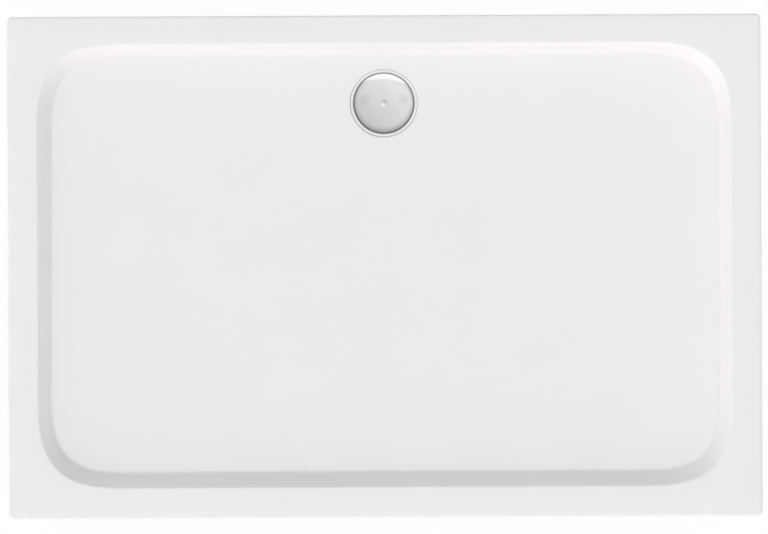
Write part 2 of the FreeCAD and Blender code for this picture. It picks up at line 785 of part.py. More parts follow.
def make_outlet_fittings():
    nut = at_outlet(new_body("outlet_nut"))
    inner, outer = "pipe_socket_width / 2", "pipe_socket_width / 2 + outlet_nut_wall"
    lip = "pipe_bore / 2 + outlet_nut_lip_play"
    end = "outlet_seal_length + outlet_nut_lip"
    start = f"{end} - outlet_nut_length"
    turn(nut, "Nut", [(inner, start), (outer, start), (outer, end), (lip, end),
                      (lip, "outlet_seal_length"), (inner, "outlet_seal_length")])
    rib = new_sketch(nut, "XY_Plane", "Rib", start)
    round_hole(rib, "outlet_nut_rib", outer)
    repeat_round(nut, [pad(nut, rib, "outlet_nut_length")], "outlet_nut_ribs")
    seal = at_outlet(new_body("outlet_seal"))
    bore = "pipe_width / 2 + outlet_seal_play"
    turn(seal, "Seal", [(bore, "0"), (inner, "0"), (inner, "outlet_seal_length"),
                        (bore, "outlet_seal_length")])
    return [nut, seal]


def make_flange_screws():
    screws = []
    for index in range(FLANGE_SCREWS):
        angle = f"{index * FULL_TURN / FLANGE_SCREWS:.0f} deg"
        screw = make_screw(f"flange_screw_{index + 1}", "flange_screw", "flange_screw_head",
                           "flange_screw_head_height", "flange_screw_length")
        circle = "flange_screw_circle / 2"
        screws.append(place(screw, f"{circle} * cos({angle})", f"waste_y + {circle} * sin({angle})",
                            "seat_level + dish_z"))
    return group("flange_screws", screws)


def make_dip_tube():
    """The lift-out tube that reaches down into the water and makes the trap."""
    body = at_waste(new_body("dip_tube"))
    turn(body, "Tube", [("dip_bore / 2", "dip_bottom_z"), ("dip_width / 2", "dip_bottom_z"),
                        ("dip_width / 2", "collar_z"), ("dip_collar_width / 2", "collar_z"),
                        ("dip_collar_width / 2", "sieve_z"), ("dip_bore / 2", "sieve_z")])
    return body


def make_hair_sieve():
    """A slotted plate that plugs into the dip tube, with a hub for the cover's stem."""
    body = at_waste(new_body("hair_sieve"))
    plug = "dip_bore / 2 - sieve_plug_play"
    top = "sieve_z + sieve_thickness"
    turn(body, "Sieve", [("0", "sieve_z"), (f"{plug} - sieve_plug_wall", "sieve_z"),
                         (f"{plug} - sieve_plug_wall", "sieve_z - sieve_plug_depth"),
                         (plug, "sieve_z - sieve_plug_depth"), (plug, "sieve_z"),
                         ("sieve_width / 2", "sieve_z"), ("sieve_width / 2", top),
                         ("sieve_hub / 2", top), ("sieve_hub / 2", f"{top} + sieve_hub_height"),
                         ("0", f"{top} + sieve_hub_height")])
    bore = new_sketch(body, "XY_Plane", "StemBore", top)
    round_hole(bore, "stem_width + 2 * stem_play")
    pocket(body, bore, "sieve_hub_height", Reversed=True)
    slot = new_sketch(body, "XY_Plane", "Slot", "sieve_z")
    rounded_box(slot, "sieve_hub / 2 + sieve_bar", f"{plug} - sieve_plug_wall - sieve_bar",
                "-sieve_slot_width / 2", "sieve_slot_width / 2", "sieve_slot_corner")
    repeat_round(body, [pocket(body, slot, "sieve_thickness", Reversed=True)], "sieve_slots")
    return body


def make_cover():
    """The domed cover, pressed with a dimple at its middle, and the stem that carries it."""
    cover = at_waste(new_body("waste_cover"))
    centre = "cover_z + dome_centre"
    edge = "cover_width / 2 - cover_thickness"
    dimple_low = "cover_z + dimple_rim - dimple_depth"
    turn(cover, "Dome",
         [("cover_width / 2", "cover_z"), ("cover_width / 2", "cover_z + cover_side", "0", centre),
          ("dimple_width / 2", "cover_z + dimple_rim", "0", f"{dimple_low} + dimple_radius"),
          ("0", dimple_low), ("0", f"{dimple_low} - cover_thickness"),
          ("dimple_inside", f"{centre} + sqrt(dome_inside^2 - dimple_inside^2)", "0", centre),
          (edge, f"{centre} + sqrt(dome_inside^2 - ({edge})^2)"), (edge, "cover_z")])
    doc.recompute()
    shoulder = now("cover_z + cover_side")
    round_edges(cover, cover.Tip, "cover_rounding", lambda spot, line: abs(spot.z - shoulder) < NEAR)
    stem = at_waste(new_body("cover_stem"))
    low, top = "sieve_z + sieve_thickness", "cover_z + stem_top_z"
    socket = "dimple_inside + dimple_room"
    floor = f"{dimple_low} - cover_thickness - dimple_room"
    turn(stem, "Stem",
         [("0", low), ("stem_width / 2", low),
          ("stem_width / 2", f"{top} - stem_head_thickness - stem_flare"),
          ("stem_head / 2", f"{top} - stem_head_thickness"), ("stem_head / 2", top),
          (socket, top), (socket, floor), ("0", floor)])
    return [cover, stem]


def make_waste():
    low_seal = "trap_flange_width - 2 * trap_seal_width"
    return [
        make_waste_flange(),
        make_ring("flange_seal", "flange_width - 2 * flange_seal_width", "flange_width", "0",
                  "flange_seal_thickness"),
        make_ring("trap_seal", low_seal, "trap_flange_width", "trap_top_z", "clamp_z"),
        make_trap_body(), make_trap_outlet(), make_flange_screws(), *make_outlet_fittings(),
        make_dip_tube(),
        make_ring("dip_seal", "dip_width", "dip_seal_width", "ledge_z", "collar_z"),
        make_hair_sieve(), *make_cover()]


# ---------------------------------------------------------------------------------------------

nodes = make_tray_shell() + make_resin_backing() + make_base_board() + make_feet() + make_waste()
doc.recompute()

for item in doc.Objects:
    if {"Invalid", "Error"} & set(item.State):
        raise RuntimeError(f"{item.Label} failed: {item.State}")
for node in nodes:
    if node.Shape.isNull() or not node.Shape.isValid():
        raise RuntimeError(f"{node.Label} has no valid shape")

os.makedirs("parts", exist_ok=True)
for node in nodes:
    node.Shape.exportStep(f"parts/{node.Label}.step")
    box = node.Shape.BoundBox
    print(f"{node.Label}: {len(node.Shape.Solids)} solid(s), {node.Shape.Volume / 1000:.1f} cm3, "
          f"z {box.ZMin:.1f} to {box.ZMax:.1f}")
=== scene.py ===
import math

import bpy
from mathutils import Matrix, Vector


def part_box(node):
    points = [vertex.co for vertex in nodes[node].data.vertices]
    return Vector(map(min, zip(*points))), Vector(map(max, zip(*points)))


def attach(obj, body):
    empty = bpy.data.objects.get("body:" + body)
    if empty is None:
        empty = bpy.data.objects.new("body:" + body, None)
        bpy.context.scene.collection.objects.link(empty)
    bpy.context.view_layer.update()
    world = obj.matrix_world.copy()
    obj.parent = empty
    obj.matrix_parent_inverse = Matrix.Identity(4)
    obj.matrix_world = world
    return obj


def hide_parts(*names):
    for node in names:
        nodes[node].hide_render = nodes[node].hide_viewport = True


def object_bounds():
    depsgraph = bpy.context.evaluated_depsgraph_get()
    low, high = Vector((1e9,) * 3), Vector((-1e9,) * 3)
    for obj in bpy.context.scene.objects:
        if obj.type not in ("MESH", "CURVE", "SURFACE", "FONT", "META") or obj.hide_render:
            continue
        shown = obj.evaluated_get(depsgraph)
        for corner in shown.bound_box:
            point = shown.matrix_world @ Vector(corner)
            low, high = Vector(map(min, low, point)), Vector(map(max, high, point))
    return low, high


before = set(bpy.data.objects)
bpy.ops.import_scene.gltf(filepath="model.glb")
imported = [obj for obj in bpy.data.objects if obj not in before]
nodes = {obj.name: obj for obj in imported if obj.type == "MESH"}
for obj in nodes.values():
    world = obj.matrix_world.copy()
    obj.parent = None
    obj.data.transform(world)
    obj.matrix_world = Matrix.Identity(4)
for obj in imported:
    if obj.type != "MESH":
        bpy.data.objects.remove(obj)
cad_low, cad_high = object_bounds()


# ---------------------------------------------------------------------------------------------
# Skin. One sheet of white sanitary acrylic, 4 mm thick, softened by heat and drawn over a mould
# by vacuum, then trimmed at its lower edge and cut out for the waste. The rim gives way a little
# towards its edge, and the corners of the basin ease into the straight walls.


def add(tree, kind, inputs=None, **settings):
    """A node of a tree, with its settings, and its inputs set or linked."""
    node = tree.nodes.new(kind)
    for name, value in settings.items():
        setattr(node, name, value)
    for name, value in (inputs or {}).items():
        if isinstance(value, bpy.types.NodeSocket):
            tree.links.new(value, node.inputs[name])
        else:
            node.inputs[name].default_value = value
    return node


def add_math(tree, operation, *values):
    """The result of a sum on numbers or sockets."""
    return add(tree, "ShaderNodeMath", dict(enumerate(values)), operation=operation).outputs[0]


def plus(tree, first, *others):
    for other in others:
        first = add_math(tree, "ADD", first, other)
    return first


def minus(tree, first, *others):
    for other in others:
        first = add_math(tree, "SUBTRACT", first, other)
    return first


def times(tree, first, *others):
    for other in others:
        first = add_math(tree, "MULTIPLY", first, other)
    return first


def add_vector(tree, operation, *values, scale=None):
    """The result of a sum on places or directions."""
    inputs = dict(enumerate(values))
    if scale is not None:
        inputs["Scale"] = scale
    return add(tree, "ShaderNodeVectorMath", inputs, operation=operation).outputs["Vector"]


def measured(tree, operation, *places):
    """The number that places or directions give, such as a length or a distance."""
    node = add(tree, "ShaderNodeVectorMath", dict(enumerate(places)), operation=operation)
    return node.outputs["Value"]


def place_of(tree, x=0.0, y=0.0, z=0.0):
    return add(tree, "ShaderNodeCombineXYZ", {"X": x, "Y": y, "Z": z}).outputs[0]


def new_group(name, kind, inputs, outputs):
    """An empty node group with named sockets, and its first and last nodes."""
    tree = bpy.data.node_groups.new(name, kind)
    for label, socket in inputs:
        tree.interface.new_socket(label, in_out="INPUT", socket_type="NodeSocket" + socket)
    for label, socket in outputs:
        tree.interface.new_socket(label, in_out="OUTPUT", socket_type="NodeSocket" + socket)
    return tree, add(tree, "NodeGroupInput").outputs, add(tree, "NodeGroupOutput").inputs


def clamped(tree, value, start, end):
    """How far a value is from start to end, from 0 to 1."""
    return add(tree, "ShaderNodeMapRange", {"Value": value, "From Min": start, "From Max": end}).outputs[0]


def between(tree, first, last, share):
    """The place a share of the way from one place to another."""
    step = add_vector(tree, "SCALE", add_vector(tree, "SUBTRACT", last, first), scale=share)
    return add_vector(tree, "ADD", first, step)


def lifted(tree, place, rise):
    return add_vector(tree, "ADD", place, place_of(tree, z=rise))


def rounded(tree, first, corner, last, share):
    """A place on the arc that touches both arms of a corner at their ends."""
    arm = add_vector(tree, "NORMALIZE", add_vector(tree, "SUBTRACT", first, corner))
    other = add_vector(tree, "NORMALIZE", add_vector(tree, "SUBTRACT", last, corner))
    spread = measured(tree, "DOT_PRODUCT", arm, other)
    pull = add_math(tree, "SQRT", times(tree, minus(tree, 1.0, spread), 0.5))
    rest = minus(tree, 1.0, share)
    weights = (times(tree, rest, rest), times(tree, rest, share, pull, 2.0), times(tree, share, share))
    whole = plus(tree, *weights)
    parts = [add_vector(tree, "SCALE", place, scale=weight)
             for place, weight in zip((first, corner, last), weights)]
    total = add_vector(tree, "ADD", add_vector(tree, "ADD", parts[0], parts[1]), parts[2])
    return add_vector(tree, "SCALE", total, scale=add_math(tree, "DIVIDE", 1.0, whole))


LINE_END = 0.3
ARC_END = 0.7
LEAST_CORNER = 0.002


def make_soft_box():
    """A box outline with eased corners, followed once round from the middle of its right side."""
    tree, given, made = new_group(
        "soft_box", "GeometryNodeTree",
        [("Turn", "Float"), ("Half Length", "Float"), ("Front", "Float"), ("Back", "Float"),
         ("Corner", "Float"), ("Power", "Float"), ("Grow", "Float")], [("Place", "Vector")])
    quarter = times(tree, add_math(tree, "PINGPONG", given["Turn"], 0.25), 4.0)
    angle = times(tree, clamped(tree, quarter, LINE_END, ARC_END), math.pi / 2)
    power = add_math(tree, "DIVIDE", 2.0, given["Power"])
    corner = add_math(tree, "MAXIMUM", plus(tree, given["Corner"], given["Grow"]), LEAST_CORNER)
    back = plus(tree, given["Back"], given["Grow"])
    front = minus(tree, given["Front"], given["Grow"])
    half_x = plus(tree, given["Half Length"], given["Grow"])
    half_y = times(tree, minus(tree, back, front), 0.5)
    along_x = minus(tree, 1.0, clamped(tree, quarter, ARC_END, 1.0))
    along_y = clamped(tree, quarter, 0.0, LINE_END)
    to_right = minus(tree, add_math(tree, "ABSOLUTE", minus(tree, given["Turn"], 0.5)), 0.25)
    to_back = minus(tree, 0.5, given["Turn"])
    sides = []
    for half, along, bend, side in ((half_x, along_x, "COSINE", to_right),
                                    (half_y, along_y, "SINE", to_back)):
        line = times(tree, minus(tree, half, corner), along)
        arc = times(tree, corner, add_math(tree, "POWER", add_math(tree, bend, angle), power))
        sides.append(times(tree, plus(tree, line, arc), add_math(tree, "SIGN", side)))
    middle = times(tree, plus(tree, back, front), 0.5)
    tree.links.new(place_of(tree, sides[0], plus(tree, sides[1], middle)), made["Place"])
    return tree


soft_box = make_soft_box()


def use(tree, group, inputs):
    """A group placed in a tree, and its outputs."""
    kind = "GeometryNodeGroup" if tree.bl_idname == "GeometryNodeTree" else "ShaderNodeGroup"
    return add(tree, kind, inputs, node_tree=group).outputs


skin_low, skin_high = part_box("tray_shell")
cover_low, cover_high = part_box("waste_cover")
WASTE_Y = (cover_low.y + cover_high.y) / 2
SKIN_SIZES = {
    "Length": skin_high.x - skin_low.x, "Width": skin_high.y - skin_low.y,
    "Rim Level": skin_high.z, "Skirt Level": skin_low.z,
    "Edge Corner": 0.009, "Rim Rounding": 0.003, "Rim Ease": 0.024, "Rim Drop": 0.0009,
    "Rim Side": 0.0485, "Rim Front": 0.050, "Rim Back": 0.046,
    "Run Side": 0.018, "Run Front": 0.024, "Run Back": 0.014,
    "Basin Corner": 0.150, "Floor Corner": 0.135, "Corner Power": 3.2,
    "Edge Rounding": 0.004, "Floor Rounding": 0.008,
    "Depth": 0.048, "Fall": 0.012, "Skin": 0.004,
    "Waste Y": WASTE_Y, "Seat Level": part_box("flange_seal")[0].z,
    "Recess": 0.0541, "Recess Ledge": 0.0034, "Recess Rounding": 0.0010, "Hole": 0.045,
}
SKIN_AROUND = 256
FLOOR_ROWS = 28
BACK_ROWS = 16
MERGE = 2e-5
SHARP = math.radians(28.0)


def finish_mesh(tree, given, made, mesh):
    """Shades a mesh smooth but for its sharp edges, and gives it its material."""
    angle = add(tree, "GeometryNodeInputMeshEdgeAngle").outputs["Unsigned Angle"]
    sharp = add(tree, "FunctionNodeCompare", {0: angle, 1: SHARP}, operation="GREATER_THAN")
    mesh = add(tree, "GeometryNodeSetShadeSmooth", {"Geometry": mesh, "Shade Smooth": True}).outputs[0]
    mesh = add(tree, "GeometryNodeSetShadeSmooth", {"Geometry": mesh, "Selection": sharp.outputs[0],
                                                    "Shade Smooth": False}, domain="EDGE").outputs[0]
    mesh = add(tree, "GeometryNodeSetMaterial", {"Geometry": mesh, "Material": given["Material"]})
    tree.links.new(mesh.outputs[0], made["Mesh"])


class Strips:
    """A closed skin built of strips. Each runs once round, from one rail to the next, and the rails
    follow each other up the outside, over the top and back on the inside."""

    def __init__(self, tree, around):
        self.tree = tree
        self.around = plus(tree, around, 1.0)
        spot = add(tree, "ShaderNodeSeparateXYZ", {0: add(tree, "GeometryNodeInputPosition").outputs[0]})
        self.share = plus(tree, spot.outputs["X"], 0.5)
        self.turn = plus(tree, spot.outputs["Y"], 0.5)
        self.meshes = []

    def circle(self, level, radius, middle=0.0):
        """A level circle about a place on the Y axis."""
        angle = times(self.tree, self.turn, 2 * math.pi)
        across = times(self.tree, add_math(self.tree, "COSINE", angle), radius)
        along = times(self.tree, add_math(self.tree, "SINE", angle), radius)
        along = plus(self.tree, along, middle)
        return place_of(self.tree, across, along, level)

    def strip(self, rows, place):
        grid = add(self.tree, "GeometryNodeMeshGrid",
                   {"Size X": 1.0, "Size Y": 1.0, "Vertices X": rows + 1, "Vertices Y": self.around})
        self.meshes.append(add(self.tree, "GeometryNodeSetPosition",
                               {"Geometry": grid.outputs["Mesh"], "Position": place}))

    def ruled(self, rows, first, last):
        self.strip(rows, between(self.tree, first, last, self.share))

    def turned_over(self, rows, first, corner, last):
        self.strip(rows, rounded(self.tree, first, corner, last, self.share))

    def joined(self):
        """All strips as one mesh with closed seams and its faces outwards."""
        whole = add(self.tree, "GeometryNodeJoinGeometry")
        for mesh in self.meshes:
            self.tree.links.new(mesh.outputs[0], whole.inputs[0])
        merged = add(self.tree, "GeometryNodeMergeByDistance",
                     {"Geometry": whole.outputs[0], "Distance": MERGE})
        return add(self.tree, "GeometryNodeFlipFaces", {"Mesh": merged.outputs[0]}).outputs[0]


def make_skin_tree():
    """The formed sheet, between rails that run once round the tray or the waste."""
    tree, given, made = new_group(
        "formed_skin", "GeometryNodeTree",
        [(name, "Float") for name in SKIN_SIZES] + [("Around", "Int"), ("Material", "Material")],
        [("Mesh", "Geometry")])
    strips = Strips(tree, given["Around"])
    half_x = times(tree, given["Length"], 0.5)
    half_y = times(tree, given["Width"], 0.5)
    rim, skin, recess = given["Rim Level"], given["Skin"], given["Recess"]
    drain = minus(tree, rim, given["Depth"])
    seat = given["Seat Level"]

    def box_at(level, grow, corner=given["Edge Corner"], power=2.0, side=0.0, front=0.0, back=0.0):
        place = use(tree, soft_box, {
            "Turn": strips.turn, "Half Length": minus(tree, half_x, side),
            "Front": minus(tree, front, half_y), "Back": minus(tree, half_y, back),
            "Corner": corner, "Power": power, "Grow": grow})["Place"]
        return lifted(tree, place, level)

    def circle_at(level, radius):
        return strips.circle(level, radius, given["Waste Y"])

    def fallen(place, level):
        """A place let down onto the cone that falls to the waste, and its new level."""
        flat = add_vector(tree, "MULTIPLY", place, (1.0, 1.0, 0.0))
        away = measured(tree, "DISTANCE", flat, place_of(tree, y=given["Waste Y"]))
        away = minus(tree, away, recess, given["Recess Ledge"])
        rise = times(tree, add_math(tree, "MAXIMUM", away, 0.0), given["Fall"])
        level = plus(tree, level, rise)
        return lifted(tree, flat, level), level

    def wall_rails(grow):
        """The wall's top at the rim's level, its foot on the falling floor, and the foot's level."""
        top = box_at(rim, grow, given["Basin Corner"], given["Corner Power"], given["Rim Side"],
                     given["Rim Front"], given["Rim Back"])
        low_level = minus(tree, drain, grow)
        low = box_at(low_level, grow, given["Floor Corner"], given["Corner Power"],
                     plus(tree, given["Rim Side"], given["Run Side"]),
                     plus(tree, given["Rim Front"], given["Run Front"]),
                     plus(tree, given["Rim Back"], given["Run Back"]))
        level = fallen(low, low_level)[1]
        down = add_math(tree, "DIVIDE", minus(tree, rim, level), minus(tree, rim, low_level))
        return top, between(tree, top, low, down), level

    # The turned-down edge, its rounding and the part of the rim that gives way.
    ease, drop, bend = given["Rim Ease"], given["Rim Drop"], given["Rim Rounding"]
    edge_level = minus(tree, rim, drop)
    inward = minus(tree, 1.0, add_math(tree, "DIVIDE", bend, ease))
    left = times(tree, inward, minus(tree, 1.0, strips.share))
    sag = times(tree, left, left, drop)
    start_sag = times(tree, inward, inward, drop)
    edge_foot = box_at(given["Skirt Level"], 0.0)
    edge_side = box_at(minus(tree, edge_level, bend), 0.0)
    edge_in = box_at(minus(tree, rim, start_sag), minus(tree, 0.0, bend))
    rim_in = box_at(rim, minus(tree, 0.0, ease))
    strips.ruled(2, edge_foot, edge_side)
    strips.turned_over(6, edge_side, box_at(edge_level, 0.0), edge_in)
    sloped = between(tree, box_at(rim, minus(tree, 0.0, bend)), rim_in, strips.share)
    strips.strip(6, lifted(tree, sloped, minus(tree, 0.0, sag)))

    # The wall, rounded at the rim and at the floor.
    top, foot, level = wall_rails(0.0)
    down = add_vector(tree, "NORMALIZE", add_vector(tree, "SUBTRACT", foot, top))
    out = add_vector(tree, "NORMALIZE", add_vector(tree, "MULTIPLY", down, (-1.0, -1.0, 0.0)))
    slope = measured(tree, "DOT_PRODUCT", out, down)
    arm = add_math(tree, "SQRT", add_math(tree, "DIVIDE", plus(tree, 1.0, slope), minus(tree, 1.0, slope)))
    edge_arm = times(tree, arm, given["Edge Rounding"])
    foot_arm = times(tree, arm, given["Floor Rounding"])
    over = add_vector(tree, "ADD", top, add_vector(tree, "SCALE", out, scale=edge_arm))
    under = add_vector(tree, "ADD", top, add_vector(tree, "SCALE", down, scale=edge_arm))
    above = add_vector(tree, "SUBTRACT", foot, add_vector(tree, "SCALE", down, scale=foot_arm))
    floor = add_vector(tree, "SUBTRACT", foot, add_vector(tree, "SCALE", out, scale=foot_arm))
    floor = fallen(floor, drain)[0]
    strips.ruled(3, rim_in, over)
    strips.turned_over(7, over, top, under)
    strips.ruled(4, under, above)
    strips.turned_over(8, above, foot, floor)

    # The falling floor, and the recess and the hole of the waste.
    soft, hole = given["Recess Rounding"], circle_at(seat, given["Hole"])
    ledge = circle_at(drain, plus(tree, recess, given["Recess Ledge"]))
    brink = circle_at(drain, plus(tree, recess, soft))
    side_top = circle_at(minus(tree, drain, soft), recess)
    side_foot = circle_at(plus(tree, seat, soft), recess)
    seat_out = circle_at(seat, minus(tree, recess, soft))
    strips.strip(FLOOR_ROWS, fallen(between(tree, floor, ledge, strips.share), drain)[0])
    strips.ruled(1, ledge, brink)
    strips.turned_over(5, brink, circle_at(drain, recess), side_top)
    strips.ruled(1, side_top, side_foot)
    strips.turned_over(4, side_foot, circle_at(seat, recess), seat_out)
    strips.ruled(1, seat_out, hole)

    # The back of the sheet, one thickness away.
    back_seat, back_drain = minus(tree, seat, skin), minus(tree, drain, skin)
    back_recess, inside = plus(tree, recess, skin), minus(tree, 0.0, skin)
    back_top, back_foot, back_level = wall_rails(skin)
    up = minus(tree, 1.0, add_math(tree, "DIVIDE", skin, minus(tree, rim, back_level)))
    back_rim = between(tree, back_foot, back_top, up)
    back_foot = fallen(back_foot, back_drain)[0]
    back_hole = circle_at(back_seat, given["Hole"])
    well_foot, well_top = circle_at(back_seat, back_recess), circle_at(back_drain, back_recess)
    edge_top, edge_end = box_at(minus(tree, rim, skin), inside), box_at(given["Skirt Level"], inside)
    strips.ruled(1, hole, back_hole)
    strips.ruled(1, back_hole, well_foot)
    strips.ruled(1, well_foot, well_top)
    strips.strip(BACK_ROWS, fallen(between(tree, well_top, back_foot, strips.share), back_drain)[0])
    strips.ruled(3, back_foot, back_rim)
    strips.ruled(3, back_rim, edge_top)
    strips.ruled(2, edge_top, edge_end)
    strips.ruled(1, edge_end, edge_foot)

    finish_mesh(tree, given, made, strips.joined())
    return tree


def grown(name, tree, values, places=()):
    """An object whose mesh a tree of geometry nodes has made, starting from some points."""
    start = bpy.data.meshes.new(name)
    start.from_pydata(list(places), [], [])
    piece = bpy.data.objects.new(name, start)
    bpy.context.scene.collection.objects.link(piece)
    modifier = piece.modifiers.new("shape", "NODES")
    modifier.node_group = tree
    for socket in tree.interface.items_tree:
        if socket.name in values:
            modifier[socket.identifier] = values[socket.name]
    graph = bpy.context.evaluated_depsgraph_get()
    mesh = bpy.data.meshes.new_from_object(piece.evaluated_get(graph), preserve_all_data_layers=True,
                                           depsgraph=graph)
    piece.modifiers.remove(modifier)
    piece.data = mesh
    mesh.name = name
    return piece


def noise_in(tree, vector, scale, detail=2.0, rough=0.5):
    """A noise from 0 to 1 at a scale in waves per metre."""
    settings = {"Vector": vector, "Scale": scale, "Detail": detail, "Roughness": rough}
    return add(tree, "ShaderNodeTexNoise", settings).outputs["Fac"]


def spread_of(tree, value, low, high, start=0.3, end=0.7):
    """Maps a noise's usual range onto low to high."""
    settings = {"Value": value, "From Min": start, "From Max": end, "To Min": low, "To Max": high}
    return add(tree, "ShaderNodeMapRange", settings).outputs["Result"]


def make_mottle():
    """A colour that drifts lighter and darker over the surface."""
    tree, given, made = new_group(
        "colour_mottle", "ShaderNodeTree",
        [("Vector", "Vector"), ("Colour", "Color"), ("Patches", "Float"), ("Spread", "Float")],
        [("Colour", "Color")])
    patches = noise_in(tree, given["Vector"], given["Patches"], 3.0)
    swing = times(tree, spread_of(tree, patches, -1.0, 1.0), given["Spread"])
    shade = plus(tree, swing, 1.0)
    tree.links.new(add_vector(tree, "SCALE", given["Colour"], scale=shade), made["Colour"])
    return tree


def make_finish():
    """A polish that varies in patches, and the fine grain or waviness of a surface."""
    tree, given, made = new_group(
        "surface_finish", "ShaderNodeTree",
        [("Vector", "Vector"), ("Smooth", "Float"), ("Dull", "Float"), ("Patches", "Float"),
         ("Waves", "Float"), ("Wave Height", "Float"), ("Grains", "Float"), ("Grain Height", "Float")],
        [("Roughness", "Float"), ("Height", "Float")])
    patches = noise_in(tree, given["Vector"], given["Patches"], 4.0, 0.6)
    span = minus(tree, given["Dull"], given["Smooth"])
    step = times(tree, span, spread_of(tree, patches, 0.0, 1.0))
    tree.links.new(plus(tree, given["Smooth"], step), made["Roughness"])
    wave = times(tree, noise_in(tree, given["Vector"], given["Waves"]), given["Wave Height"])
    grain = times(tree, noise_in(tree, given["Vector"], given["Grains"], 3.0), given["Grain Height"])
    tree.links.new(plus(tree, wave, grain), made["Height"])
    return tree


mottle = make_mottle()
finish = make_finish()


def new_material(name):
    """A new material's tree and the place on the object that its patterns follow."""
    material = bpy.data.materials.new(name)
    material.use_nodes = True
    material.node_tree.nodes.clear()
    place = add(material.node_tree, "ShaderNodeTexCoord").outputs["Object"]
    return material, material.node_tree, place


def close_material(tree, height, inputs):
    """Ends a material in its shader, with a relief in metres."""
    relief = add(tree, "ShaderNodeBump", {"Height": height, "Distance": 1.0})
    shader = add(tree, "ShaderNodeBsdfPrincipled", {"Normal": relief.outputs["Normal"], **inputs})
    add(tree, "ShaderNodeOutputMaterial", {"Surface": shader.outputs["BSDF"]})


def moulded(name, colour, spread, smooth, dull, waves, wave_height, grains, grain_height, **shader):
    """A moulded or formed material: one colour that drifts a little, a polish and a relief."""
    material, tree, place = new_material(name)
    tint = use(tree, mottle, {"Vector": place, "Colour": (*colour, 1.0), "Patches": 9.0,
                              "Spread": spread})
    surface = use(tree, finish, {"Vector": place, "Smooth": smooth, "Dull": dull, "Patches": 14.0,
                                 "Waves": waves, "Wave Height": wave_height, "Grains": grains,
                                 "Grain Height": grain_height})
    close_material(tree, surface["Height"], {"Base Color": tint["Colour"],
                                             "Roughness": surface["Roughness"], **shader})
    return material


ACRYLIC_WHITE = (0.836, 0.814, 0.838)
acrylic = moulded("sanitary_acrylic", ACRYLIC_WHITE, spread=0.006, smooth=0.12, dull=0.15, waves=22.0,
                  wave_height=6e-6, grains=900.0, grain_height=4e-7, IOR=1.49)
skin_piece = grown("tray_skin", make_skin_tree(),
                   {**SKIN_SIZES, "Around": SKIN_AROUND, "Material": acrylic})
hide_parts("tray_shell")
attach(skin_piece, "tray")


# ---------------------------------------------------------------------------------------------
# Backing. Polyester resin with chopped glass strands, sprayed on the back of the skin and rolled
# down by hand. The strands lie every way in the yellowish resin, and the surface stays rough.

STRAND_ANGLES = (12.0, 58.0, 101.0, 147.0)
STRANDS_PER_METRE = (32.0, 620.0, 60.0)
STRAND_DRIFT = 0.012


def paint(material, *names):
    """Gives CAD nodes a finish."""
    for name in names:
        for slot in nodes[name].material_slots:
            slot.material = material


def make_strands():
    """Chopped strands lying one way, each a few centimetres long and a millimetre wide."""
    tree, given, made = new_group(
        "chopped_strands", "ShaderNodeTree",
        [("Vector", "Vector"), ("Angle", "Float"), ("Seed", "Float")], [("Strand", "Float")])
    turned = add(tree, "ShaderNodeVectorRotate", {"Vector": given["Vector"], "Angle": given["Angle"]},
                 rotation_type="Z_AXIS").outputs["Vector"]
    bend = noise_in(tree, given["Vector"], 25.0)
    drift = place_of(tree, y=times(tree, bend, STRAND_DRIFT), z=given["Seed"])
    drawn = add_vector(tree, "MULTIPLY", add_vector(tree, "ADD", turned, drift), STRANDS_PER_METRE)
    lines = noise_in(tree, drawn, 1.0, 1.0)
    tree.links.new(spread_of(tree, lines, 0.0, 1.0, 0.56, 0.66), made["Strand"])
    return tree


def make_laminate():
    strands = make_strands()
    material, tree, place = new_material("glass_fibre_laminate")
    layers = [use(tree, strands, {"Vector": place, "Angle": math.radians(angle), "Seed": index * 3.7})
              for index, angle in enumerate(STRAND_ANGLES)]
    strand = layers[0]["Strand"]
    for layer in layers[1:]:
        strand = add_math(tree, "MAXIMUM", strand, layer["Strand"])
    resin = use(tree, mottle, {"Vector": place, "Colour": (0.60, 0.56, 0.42, 1.0), "Patches": 16.0,
                               "Spread": 0.14})
    tint = add(tree, "ShaderNodeMix", {0: strand, 6: resin["Colour"], 7: (0.76, 0.75, 0.68, 1.0)},
               data_type="RGBA")
    surface = use(tree, finish, {"Vector": place, "Smooth": 0.34, "Dull": 0.62, "Patches": 40.0,
                                 "Waves": 70.0, "Wave Height": 9e-4, "Grains": 700.0,
                                 "Grain Height": 1.2e-4})
    height = plus(tree, surface["Height"], times(tree, strand, 2.2e-4))
    close_material(tree, height, {"Base Color": tint.outputs[2], "Roughness": surface["Roughness"],
                                  "IOR": 1.52})
    return material


paint(make_laminate(), "resin_backing")


# ---------------------------------------------------------------------------------------------
# Base board. Moisture-resistant chipboard, 12 mm thick, bonded into the wet resin. It keeps the
# floor flat and takes the screws of the feet.

CHIPS_PER_METRE = 260.0
CHIP_PUSH = (0.008, 0.008, 0.008)


